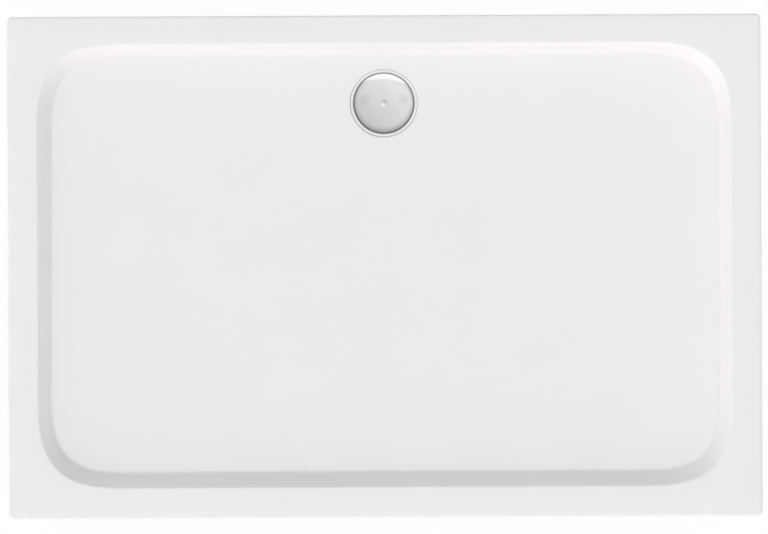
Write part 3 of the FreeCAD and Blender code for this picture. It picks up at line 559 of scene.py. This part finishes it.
def make_chipboard():
    material, tree, place = new_material("chipboard")
    warp = add(tree, "ShaderNodeTexNoise", {"Vector": place, "Scale": 90.0, "Detail": 2.0})
    pushed = add_vector(tree, "MULTIPLY", warp.outputs["Color"], CHIP_PUSH)
    chips = add(tree, "ShaderNodeTexVoronoi", {"Vector": add_vector(tree, "ADD", place, pushed),
                                               "Scale": CHIPS_PER_METRE})
    ramp = add(tree, "ShaderNodeValToRGB", {"Fac": chips.outputs["Color"]})
    ramp.color_ramp.elements[0].color = (0.27, 0.18, 0.10, 1.0)
    ramp.color_ramp.elements[1].color = (0.66, 0.52, 0.34, 1.0)
    middle = ramp.color_ramp.elements.new(0.45)
    middle.color = (0.50, 0.37, 0.22, 1.0)
    tint = use(tree, mottle, {"Vector": place, "Colour": ramp.outputs["Color"], "Patches": 30.0,
                              "Spread": 0.12})
    surface = use(tree, finish, {"Vector": place, "Smooth": 0.60, "Dull": 0.82, "Patches": 60.0,
                                 "Waves": 150.0, "Wave Height": 2e-4, "Grains": 1500.0,
                                 "Grain Height": 8e-5})
    height = minus(tree, surface["Height"], times(tree, chips.outputs["Distance"], 6e-5))
    close_material(tree, height, {"Base Color": tint["Colour"], "Roughness": surface["Roughness"]})
    return material


paint(make_chipboard(), "base_board")


# ---------------------------------------------------------------------------------------------
# Sockets. Five black glass-filled nylon mouldings, each with a zinc-plated nut trapped in its hub.
# Four zinc-plated pan-head screws hold each of them up against the board, driven from below.

FEET = ("front_left", "front_right", "back_left", "back_right", "middle")
SOCKET_PLATE = 0.004
SOCKET_SCREW_REACH = 0.024
SQUARE = ((-1, -1), (1, -1), (1, 1), (-1, 1))
SOCKET_SCREW = {"Head": 0.004, "Head Height": 0.0026, "Shank": 0.002, "Length": 0.013,
                "Recess Reach": 0.0042, "Recess Width": 0.0009, "Recess Depth": 0.0013}
SCREW_AROUND = 28
SCREW_TURN = 1.9
# The crown's height is a share of the head's, its reach a multiple of that height, the length of
# the point is in radii of the shank, and the bars' depths are in depths of the recess.
CROWN_HEIGHT = 0.62
CROWN_REACH = 1.5
POINT_LENGTH = 1.2
BAR_DEPTHS = (2.0, 1.8)


def make_screw_tree():
    """Pan-head screws with a cross recess, one on each point, their heads up or turned over."""
    sizes = [(name, "Float") for name in (*SOCKET_SCREW, "Turned Over")]
    tree, given, made = new_group("pan_head_screws", "GeometryNodeTree",
                                  [("Points", "Geometry"), *sizes, ("Material", "Material")],
                                  [("Mesh", "Geometry")])
    strips = Strips(tree, SCREW_AROUND)
    head, height, shank = given["Head"], given["Head Height"], given["Shank"]
    tip = times(tree, given["Length"], -1.0)
    bend = times(tree, height, CROWN_HEIGHT)
    shoulder = strips.circle(minus(tree, height, bend), head)
    crown = strips.circle(height, minus(tree, head, times(tree, bend, CROWN_REACH)))
    neck = strips.circle(0.0, shank)
    point = strips.circle(plus(tree, tip, times(tree, shank, POINT_LENGTH)), shank)
    strips.ruled(1, strips.circle(0.0, head), shoulder)
    strips.turned_over(6, shoulder, strips.circle(height, head), crown)
    strips.ruled(1, crown, strips.circle(height, 0.0))
    strips.ruled(1, strips.circle(tip, 0.0), point)
    strips.ruled(1, point, neck)
    strips.ruled(1, neck, strips.circle(0.0, head))
    # The bars of the cross are centred on the head's top, and one is shallower, so that their lower
    # faces never lie in one plane.
    lift = place_of(tree, z=height)
    sides = (given["Recess Reach"], given["Recess Width"])
    cuts = []
    for (across, along), depths in zip((sides, sides[::-1]), BAR_DEPTHS):
        size = place_of(tree, across, along, times(tree, given["Recess Depth"], depths))
        bar = add(tree, "GeometryNodeMeshCube", {"Size": size}).outputs["Mesh"]
        cuts.append(add(tree, "GeometryNodeTransform", {"Geometry": bar, "Translation": lift}).outputs[0])
    cross = add(tree, "GeometryNodeMeshBoolean", {"Mesh 2": cuts[0]}, operation="UNION")
    tree.links.new(cuts[1], cross.inputs["Mesh 2"])
    screw = add(tree, "GeometryNodeMeshBoolean", {"Mesh 1": strips.joined(), "Mesh 2": cross.outputs[0]})
    order = add(tree, "GeometryNodeInputIndex").outputs[0]
    turned = place_of(tree, x=times(tree, given["Turned Over"], math.pi), z=times(tree, order, SCREW_TURN))
    copies = add(tree, "GeometryNodeInstanceOnPoints",
                 {"Points": given["Points"], "Instance": screw.outputs[0], "Rotation": turned})
    real = add(tree, "GeometryNodeRealizeInstances", {"Geometry": copies.outputs[0]})
    finish_mesh(tree, given, made, real.outputs[0])
    return tree


def middle_of(node):
    low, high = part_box(node)
    return (low + high) / 2


nylon = moulded("black_nylon", (0.022, 0.022, 0.024), spread=0.15, smooth=0.38, dull=0.52, waves=60.0,
                wave_height=2e-5, grains=2600.0, grain_height=2.5e-5)
zinc = moulded("zinc_plating", (0.62, 0.63, 0.66), spread=0.07, smooth=0.26, dull=0.44, waves=300.0,
               wave_height=6e-6, grains=3000.0, grain_height=4e-6, Metallic=1.0)
paint(nylon, *["foot_socket_" + foot for foot in FEET])
paint(zinc, "captive_nuts")
screw_tree = make_screw_tree()
plate_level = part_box("foot_socket_middle")[1].z - SOCKET_PLATE
screw_spots = [(middle_of("foot_socket_" + foot).x + x * SOCKET_SCREW_REACH,
                middle_of("foot_socket_" + foot).y + y * SOCKET_SCREW_REACH, plate_level)
               for foot in FEET for x, y in SQUARE]
screws = grown("socket_screws", screw_tree, {**SOCKET_SCREW, "Turned Over": 1.0, "Material": zinc},
               screw_spots)
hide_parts("foot_screws")
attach(screws, "tray")


# ---------------------------------------------------------------------------------------------
# Feet. Zinc-plated M12 rods with a rolled thread, cut to length and chamfered, that turn in the
# trapped nuts. Each stands in a moulded pad with a hexagon for the spanner, and a nut locks it.

ROD_SIZES = {"Radius": 0.006, "Depth": 0.00107, "Pitch": 0.00175, "Chamfer": 0.0012}
ROD_AROUND = 32
ROWS_PER_PITCH = 4
# The four rows of a pitch stand at the start and end of the root and at the start and end of the
# crest. The marks lie between the quarters that count the rows.
ROOT_END, CREST_START, CREST_END = 0.25, 0.5625, 0.6875
PAST_FIRST, PAST_SECOND, PAST_THIRD = 0.1, 0.4, 0.6


def make_rod_tree():
    """A rod whose surface rises and falls along a helix, cut square and chamfered at both ends."""
    sizes = [(name, "Float") for name in ("Length", *ROD_SIZES)]
    tree, given, made = new_group("threaded_rod", "GeometryNodeTree",
                                  [*sizes, ("Place", "Vector"), ("Material", "Material")],
                                  [("Mesh", "Geometry")])
    strips = Strips(tree, ROD_AROUND)
    length, radius = given["Length"], given["Radius"]
    turns = add_math(tree, "CEIL", plus(tree, add_math(tree, "DIVIDE", length, given["Pitch"]), 2.0))
    rows = times(tree, turns, ROWS_PER_PITCH)
    row = add_math(tree, "ROUND", times(tree, strips.share, plus(tree, rows, 1.0)))
    step = minus(tree, row, 1.0)
    count = add_math(tree, "DIVIDE", step, ROWS_PER_PITCH)
    part = minus(tree, count, add_math(tree, "FLOOR", count))
    phase = 0.0
    for mark, step_up in ((PAST_FIRST, ROOT_END), (PAST_SECOND, CREST_START - ROOT_END),
                          (PAST_THIRD, CREST_END - CREST_START)):
        phase = plus(tree, phase, times(tree, add_math(tree, "GREATER_THAN", part, mark), step_up))
    climb = plus(tree, add_math(tree, "FLOOR", count), phase)
    climb = minus(tree, plus(tree, climb, strips.turn), 1.0)
    level = times(tree, climb, given["Pitch"])
    level = add_math(tree, "MINIMUM", add_math(tree, "MAXIMUM", level, 0.0), length)
    root = times(tree, add_math(tree, "LESS_THAN", part, PAST_SECOND), given["Depth"])
    thread = minus(tree, radius, root)
    to_end = add_math(tree, "MINIMUM", level, minus(tree, length, level))
    chamfer = plus(tree, minus(tree, radius, given["Chamfer"]), to_end)
    reach = add_math(tree, "MINIMUM", thread, chamfer)
    inner = times(tree, add_math(tree, "GREATER_THAN", row, 0.5),
                  add_math(tree, "LESS_THAN", row, plus(tree, rows, 0.5)))
    place = strips.circle(level, times(tree, reach, inner))
    grid = add(tree, "GeometryNodeMeshGrid", {"Size X": 1.0, "Size Y": 1.0, "Vertices Y": ROD_AROUND + 1,
                                              "Vertices X": plus(tree, rows, 2.0)})
    strips.meshes.append(add(tree, "GeometryNodeSetPosition",
                             {"Geometry": grid.outputs["Mesh"],
                              "Position": add_vector(tree, "ADD", place, given["Place"])}))
    finish_mesh(tree, given, made, strips.joined())
    return tree


rod_tree = make_rod_tree()
for foot in FEET:
    low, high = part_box("foot_rod_" + foot)
    place = ((low.x + high.x) / 2, (low.y + high.y) / 2, low.z)
    rod = grown("threaded_rod_" + foot, rod_tree,
                {**ROD_SIZES, "Length": high.z - low.z, "Place": place, "Material": zinc})
    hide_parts("foot_rod_" + foot)
    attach(rod, "foot_" + foot)
paint(nylon, *["foot_pad_" + foot for foot in FEET])
paint(zinc, "lock_nuts")


# ---------------------------------------------------------------------------------------------
# Flange. Pressed from stainless sheet and polished, with a dish for the screws and a turned-down
# throat. A black rubber ring seals it against the seat in the skin.

rubber = moulded("seal_rubber", (0.030, 0.030, 0.031), spread=0.2, smooth=0.55, dull=0.75, waves=120.0,
                 wave_height=2e-5, grains=2500.0, grain_height=2e-5)


def turned_steel(name, colour, smooth, dull, rings, ring_height):
    """Polished sheet metal with the fine circular lines of the polishing wheel round the waste."""
    material, tree, place = new_material(name)
    tint = use(tree, mottle, {"Vector": place, "Colour": (*colour, 1.0), "Patches": 30.0, "Spread": 0.015})
    surface = use(tree, finish, {"Vector": place, "Smooth": smooth, "Dull": dull, "Patches": 60.0,
                                 "Waves": 90.0, "Wave Height": 3e-6, "Grains": 1800.0,
                                 "Grain Height": 3e-7})
    away = add_vector(tree, "SUBTRACT", place, (0.0, WASTE_Y, 0.0))
    reach = measured(tree, "LENGTH", add_vector(tree, "MULTIPLY", away, (1.0, 1.0, 0.0)))
    line = add(tree, "ShaderNodeTexNoise", {"W": times(tree, reach, rings), "Scale": 1.0,
                                            "Detail": 3.0}, noise_dimensions="1D").outputs["Fac"]
    height = plus(tree, surface["Height"], times(tree, line, ring_height))
    close_material(tree, height, {"Base Color": tint["Colour"], "Roughness": surface["Roughness"],
                                  "Metallic": 1.0})
    return material


pressed = turned_steel("pressed_stainless", (0.82, 0.80, 0.82), smooth=0.12, dull=0.20, rings=4000.0,
                       ring_height=1.2e-6)
paint(pressed, "waste_flange")
paint(rubber, "flange_seal")


# ---------------------------------------------------------------------------------------------
# Trap. A cup moulded in white polypropylene, with a wide flange that is drawn up under the floor
# against its own rubber ring. It leaves the mould with a fine satin grain.

polypropylene = moulded("white_polypropylene", (0.79, 0.79, 0.775), spread=0.012, smooth=0.30, dull=0.42,
                        waves=45.0, wave_height=3e-5, grains=2200.0, grain_height=8e-6)
paint(rubber, "trap_seal")
paint(polypropylene, "trap_body")


# ---------------------------------------------------------------------------------------------
# Outlet. A tube of the same plastic glued into the side of the cup. Its nut squeezes a rubber ring
# on the pipe, and has ribs for the hand.

paint(polypropylene, "trap_outlet", "outlet_nut")
paint(rubber, "outlet_seal")


# ---------------------------------------------------------------------------------------------
# Flange screws. Three stainless pan-head screws, put in from above, which clamp the flange, the
# tray and the trap together.

FLANGE_SCREW = {"Head": 0.0045, "Head Height": 0.0028, "Shank": 0.0025, "Length": 0.020,
                "Recess Reach": 0.0050, "Recess Width": 0.0011, "Recess Depth": 0.0015}
FLANGE_SCREW_CIRCLE = 0.038
FLANGE_SCREWS = 3
stainless = moulded("stainless_screw", (0.60, 0.59, 0.58), spread=0.03, smooth=0.20, dull=0.32,
                    waves=200.0, wave_height=4e-6, grains=2600.0, grain_height=3e-6, Metallic=1.0)
head_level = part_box("flange_screws")[1].z - FLANGE_SCREW["Head Height"]
angles = [2 * math.pi * index / FLANGE_SCREWS for index in range(FLANGE_SCREWS)]
screw_spots = [(FLANGE_SCREW_CIRCLE * math.cos(angle), WASTE_Y + FLANGE_SCREW_CIRCLE * math.sin(angle),
                head_level) for angle in angles]
screws = grown("clamping_screws", screw_tree, {**FLANGE_SCREW, "Turned Over": 0.0, "Material": stainless},
               screw_spots)
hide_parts("flange_screws")
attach(screws, "tray")


# ---------------------------------------------------------------------------------------------
# Dip tube. Moulded in grey polypropylene, it hangs by its collar in the trap, on a rubber ring,
# and makes the water seal. It lifts out for cleaning.

grey = moulded("grey_polypropylene", (0.40, 0.41, 0.42), spread=0.02, smooth=0.30, dull=0.44, waves=60.0,
               wave_height=3e-5, grains=2200.0, grain_height=8e-6)
paint(grey, "dip_tube")
paint(rubber, "dip_seal")


# ---------------------------------------------------------------------------------------------
# Sieve. A slotted plate of the same grey plastic, with a plug below that sits in the dip tube and
# a hub above for the stem of the cover.

paint(grey, "hair_sieve")


# ---------------------------------------------------------------------------------------------
# Cover. A dome pressed from brass sheet, with a small dimple at its middle and a narrow band at its
# edge that slopes a little more, then polished and chromed. A grey plastic stem under it plugs into
# the sieve.

COVER_SIZES = {"Width": cover_high.x - cover_low.x, "Low": cover_low.z, "Side": 0.003, "Rise": 0.008,
               "Thickness": 0.0015, "Band Width": 0.0024, "Band Slope": 0.370, "Lip Rounding": 0.00012,
               "Dimple Width": 0.0075, "Dimple Depth": 0.0013, "Dimple Ease": 0.003,
               "Waste Y": WASTE_Y}
COVER_AROUND = 160
DOME_ROWS = 30
HOLLOW_ROWS = 16


def make_cover_tree():
    """The dome as strips round its axis, from its lower edge over the top to its hollow inside."""
    tree, given, made = new_group(
        "pressed_cover", "GeometryNodeTree",
        [(name, "Float") for name in COVER_SIZES] + [("Material", "Material")], [("Mesh", "Geometry")])
    strips = Strips(tree, COVER_AROUND)

    def half_of(value):
        return times(tree, value, 0.5)

    def squared(value):
        return times(tree, value, value)

    reach, low, thick = half_of(given["Width"]), given["Low"], given["Thickness"]
    shoulder = plus(tree, low, given["Side"])
    radius = add_math(tree, "DIVIDE", plus(tree, squared(reach), squared(given["Rise"])),
                      times(tree, given["Rise"], 2.0))
    centre = minus(tree, plus(tree, shoulder, given["Rise"]), radius)

    def dome(away, depth=0.0):
        """The dome's level at a distance from its axis, or that of its inside."""
        ball = minus(tree, radius, depth)
        return plus(tree, centre, add_math(tree, "SQRT", minus(tree, squared(ball), squared(away))))

    def ring(level, away):
        return strips.circle(level, away, given["Waste Y"])

    dip, ease = half_of(given["Dimple Width"]), given["Dimple Ease"]
    brim = plus(tree, dip, ease)
    bottom = minus(tree, dome(0.0), given["Dimple Depth"])
    inner = minus(tree, reach, thick)
    band_in = minus(tree, reach, given["Band Width"])
    arris = minus(tree, dome(band_in), times(tree, given["Band Width"], given["Band Slope"]))
    lip = given["Lip Rounding"]
    lip_in = ring(plus(tree, arris, times(tree, lip, given["Band Slope"])), minus(tree, reach, lip))
    lip_out = ring(minus(tree, arris, lip), reach)
    inside_top = dome(inner, thick)
    strips.ruled(1, ring(low, reach), lip_out)
    strips.turned_over(3, lip_out, ring(arris, reach), lip_in)
    strips.ruled(6, lip_in, ring(dome(band_in), band_in))
    out = plus(tree, band_in, times(tree, minus(tree, brim, band_in), strips.share))
    strips.strip(DOME_ROWS, ring(dome(out), out))
    fall = times(tree, minus(tree, dome(brim), bottom), add_math(tree, "DIVIDE", ease, brim))
    flank = ring(minus(tree, dome(brim), fall), dip)
    strips.turned_over(8, ring(dome(brim), brim), ring(dome(brim), minus(tree, brim, half_of(ease))), flank)
    strips.turned_over(8, flank, ring(bottom, half_of(dip)), ring(bottom, 0.0))
    under = minus(tree, bottom, thick)
    strips.ruled(2, ring(under, 0.0), ring(under, dip))
    strips.ruled(2, ring(under, dip), ring(dome(brim, thick), brim))
    back = plus(tree, brim, times(tree, minus(tree, inner, brim), strips.share))
    strips.strip(HOLLOW_ROWS, ring(dome(back, thick), back))
    strips.ruled(1, ring(inside_top, inner), ring(low, inner))
    strips.ruled(1, ring(low, inner), ring(low, reach))
    finish_mesh(tree, given, made, strips.joined())
    return tree


chrome = turned_steel("chrome_plating", (0.70, 0.678, 0.70), smooth=0.05, dull=0.09, rings=900.0,
                      ring_height=2e-7)
cover = grown("pressed_cover", make_cover_tree(), {**COVER_SIZES, "Material": chrome})
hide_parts("waste_cover")
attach(cover, "cover")
paint(grey, "cover_stem")


# ---------------------------------------------------------------------------------------------
# Studio. A pale floor, a soft white surround with a dim band round its middle and one bright panel
# at the back, wide soft lamps low on the front and the left, weak ones on the right and the back,
# and a camera straight above.

FLOOR_HALF = 40.0
FLOOR_GREY = (0.50, 0.50, 0.50, 1.0)
FLOOR_SHOWN = 0.80
FLOOR_GLOW = 1.13


def make_floor():
    mesh = bpy.data.meshes.new("studio_floor")
    corners = [(x * FLOOR_HALF, y * FLOOR_HALF, 0.0) for x, y in SQUARE]
    mesh.from_pydata(corners, [], [(0, 1, 2, 3)])
    floor = bpy.data.objects.new("studio_floor", mesh)
    bpy.context.scene.collection.objects.link(floor)
    material = bpy.data.materials.new("studio_floor")
    material.use_nodes = True
    tree = material.node_tree
    tree.nodes.clear()
    path = add(tree, "ShaderNodeLightPath").outputs
    seen = add_math(tree, "MAXIMUM", path["Is Camera Ray"], path["Is Glossy Ray"])
    share = times(tree, seen, FLOOR_SHOWN)
    matt = add(tree, "ShaderNodeBsdfDiffuse", {"Color": FLOOR_GREY})
    white = add(tree, "ShaderNodeEmission", {"Color": (1.0, 1.0, 1.0, 1.0), "Strength": FLOOR_GLOW})
    mixed = add(tree, "ShaderNodeMixShader", {0: share, 1: matt.outputs[0], 2: white.outputs[0]})
    add(tree, "ShaderNodeOutputMaterial", {"Surface": mixed.outputs[0]})
    mesh.materials.append(material)
    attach(floor, "foot_middle")


make_floor()

AMBIENT = 0.622
PANEL_HEADING = 85.0
PANEL_BEND = -2.60
PANEL_EDGE = (3.160, 3.235)
PANEL_END = (0.80, 0.88)
PANEL_STRENGTH = 1.45
DIM_STRENGTH = 0.27
DIM_SHIFT = 0.10
DIM_EDGE = (0.56, 0.88)
HORIZON_EDGE = (4.0, 9.0)
LEAST_RISE = 0.02
DRIFT_HEADING = 52.0
DRIFT = 0.30
DRIFT_END = 0.45
SMUDGES = ((-0.44, 0.11), (0.45, 0.12))
SMUDGE = 0.87
SMUDGE_EDGE = (0.02, 0.20)


def flat_sky(tree):
    """Directions above the horizon, spread on a level plane one unit up."""
    heading = add(tree, "ShaderNodeTexCoord").outputs["Generated"]
    parts = add(tree, "ShaderNodeSeparateXYZ", {0: heading}).outputs
    inverse = add_math(tree, "DIVIDE", 1.0, add_math(tree, "MAXIMUM", parts["Z"], LEAST_RISE))
    return add_vector(tree, "SCALE", place_of(tree, parts["X"], parts["Y"]), scale=inverse)


def soft_step(tree, value, start, end, low=0.0, high=1.0):
    """A smooth step from low to high between start and end."""
    settings = {"Value": value, "From Min": start, "From Max": end, "To Min": low, "To Max": high}
    return add(tree, "ShaderNodeMapRange", settings, interpolation_type="SMOOTHSTEP").outputs["Result"]


def make_surround():
    world = bpy.data.worlds.new("studio")
    bpy.context.scene.world = world
    world.use_nodes = True
    tree = world.node_tree
    tree.nodes.clear()
    spot = flat_sky(tree)
    away = measured(tree, "LENGTH", spot)
    from_middle = measured(tree, "DISTANCE", spot, (0.0, DIM_SHIFT, 0.0))
    inner = soft_step(tree, from_middle, *DIM_EDGE, 1.0, DIM_STRENGTH)
    ring = add_math(tree, "MAXIMUM", inner, soft_step(tree, away, *HORIZON_EDGE))
    drift = math.radians(DRIFT_HEADING)
    side = measured(tree, "DOT_PRODUCT", spot, (math.cos(drift), math.sin(drift), 0.0))
    side = add_math(tree, "MINIMUM", add_math(tree, "MAXIMUM", side, -DRIFT_END), DRIFT_END)
    slant = plus(tree, 1.0, times(tree, side, DRIFT))
    ring = times(tree, ring, slant)
    for x, y in SMUDGES:
        off = measured(tree, "DISTANCE", spot, (x, y, 0.0))
        ring = times(tree, ring, soft_step(tree, off, *SMUDGE_EDGE, SMUDGE, 1.0))
    turn = math.radians(PANEL_HEADING)
    centre = (PANEL_BEND * math.cos(turn), PANEL_BEND * math.sin(turn), 0.0)
    panel = soft_step(tree, measured(tree, "DISTANCE", spot, centre), *PANEL_EDGE)
    panel = times(tree, panel, soft_step(tree, away, *PANEL_END, 1.0, 0.0))
    pattern = add(tree, "ShaderNodeMix", {0: panel, 2: ring, 3: PANEL_STRENGTH}).outputs[0]
    path = add(tree, "ShaderNodeLightPath").outputs
    glossy = add(tree, "ShaderNodeMix", {0: path["Is Glossy Ray"], 2: AMBIENT, 3: pattern}).outputs[0]
    shown = add(tree, "ShaderNodeMix", {0: path["Is Camera Ray"], 2: glossy, 3: 1.0}).outputs[0]
    light = add(tree, "ShaderNodeBackground", {"Color": (1.0, 1.0, 1.0, 1.0), "Strength": shown})
    add(tree, "ShaderNodeOutputWorld", {"Surface": light.outputs[0]})


make_surround()

LAMP_RISE = 25.0
LAMP_WIDTH = 60.0


def make_lamp(name, towards, strength, shadow):
    """A wide soft lamp far away, given by the heading that its light travels in."""
    lamp = bpy.data.lights.new(name, "SUN")
    lamp.energy = strength
    lamp.angle = math.radians(LAMP_WIDTH)
    lamp.use_shadow = shadow
    lamp.cycles.use_multiple_importance_sampling = shadow
    thing = bpy.data.objects.new(name, lamp)
    bpy.context.scene.collection.objects.link(thing)
    heading, fall = math.radians(towards), math.radians(LAMP_RISE)
    beam = Vector((math.cos(heading) * math.cos(fall), math.sin(heading) * math.cos(fall),
                   -math.sin(fall)))
    thing.rotation_mode = "QUATERNION"
    thing.rotation_quaternion = beam.to_track_quat("-Z", "Y")
    thing.visible_glossy = False


make_lamp("front_fill", towards=90.0, strength=0.96, shadow=False)
make_lamp("front_key", towards=90.0, strength=0.27, shadow=True)
make_lamp("left_fill", towards=6.0, strength=0.97, shadow=False)
make_lamp("left_key", towards=6.0, strength=0.20, shadow=True)
make_lamp("right_fill", towards=164.0, strength=0.38, shadow=False)
make_lamp("back_fill", towards=270.0, strength=0.08, shadow=False)

CAMERA_HEIGHT = 6.5
VIEW_WIDTH = 1.222
SENSOR = 36.0
VIEW_ROLL = 0.28
VIEW_CENTRE = (-0.0010, -0.0006)


def make_camera():
    camera = bpy.data.cameras.new("camera")
    camera.sensor_width = SENSOR
    camera.lens = SENSOR * CAMERA_HEIGHT / VIEW_WIDTH
    camera.clip_end = 100.0
    thing = bpy.data.objects.new("camera", camera)
    bpy.context.scene.collection.objects.link(thing)
    thing.location = (*VIEW_CENTRE, cad_high.z + CAMERA_HEIGHT)
    thing.rotation_euler = (0.0, 0.0, math.radians(-VIEW_ROLL))
    bpy.context.scene.camera = thing


make_camera()
bpy.context.scene.view_settings.view_transform = "Standard"
